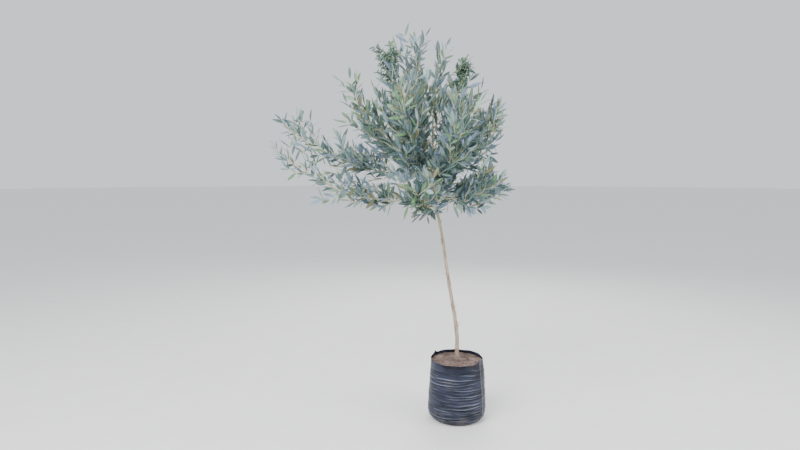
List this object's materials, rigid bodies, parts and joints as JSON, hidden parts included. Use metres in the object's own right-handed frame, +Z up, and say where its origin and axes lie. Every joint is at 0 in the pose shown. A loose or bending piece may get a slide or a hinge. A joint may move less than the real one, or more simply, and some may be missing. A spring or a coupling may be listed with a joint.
{
  "type": "potted olive tree",
  "caption": "Young olive grown as a standard: a slim leaning trunk with an airy head of narrow grey-green leaves, rooted in a soil-filled black grow bag with a flat base.",
  "frame": {"origin": "the middle of the bag's flat underside", "axes": "+Z up along the plant, +X to the right as the picture sees it, so the trunk leans towards -X, and +Y to the back"},
  "size_m": [1.407, 1.0564, 2.2713],
  "materials": {
    "film": "satin",
    "soil": "matte",
    "bark": "matte",
    "foliage": "satin"
  },
  "bodies": {
    "root": {"bag": "film", "soil": "soil", "trunk": "bark", "bough_low_left": "bark", "bough_mid_left": "bark", "bough_arch_left": "bark", "bough_outer_left": "bark", "bough_inner_left": "bark", "bough_near_left": "bark", "bough_top_right": "bark", "bough_short_right": "bark", "bough_arch_right": "bark", "bough_low_right": "bark", "bough_front_right": "bark", "bough_front_left": "bark", "bough_back_right": "bark", "bough_back_left": "bark", "bough_back_low": "bark", "bough_front_low": "bark", "bough_side_low": "bark", "foliage_leader": "foliage", "foliage_low_left": "foliage", "foliage_mid_left": "foliage", "foliage_arch_left": "foliage", "foliage_outer_left": "foliage", "foliage_inner_left": "foliage", "foliage_near_left": "foliage", "foliage_top_right": "foliage", "foliage_short_right": "foliage", "foliage_arch_right": "foliage", "foliage_low_right": "foliage", "foliage_front_right": "foliage", "foliage_front_left": "foliage", "foliage_back_right": "foliage", "foliage_back_left": "foliage", "foliage_back_low": "foliage", "foliage_front_low": "foliage", "foliage_side_low": "foliage"}
  },
  "joints": []
}
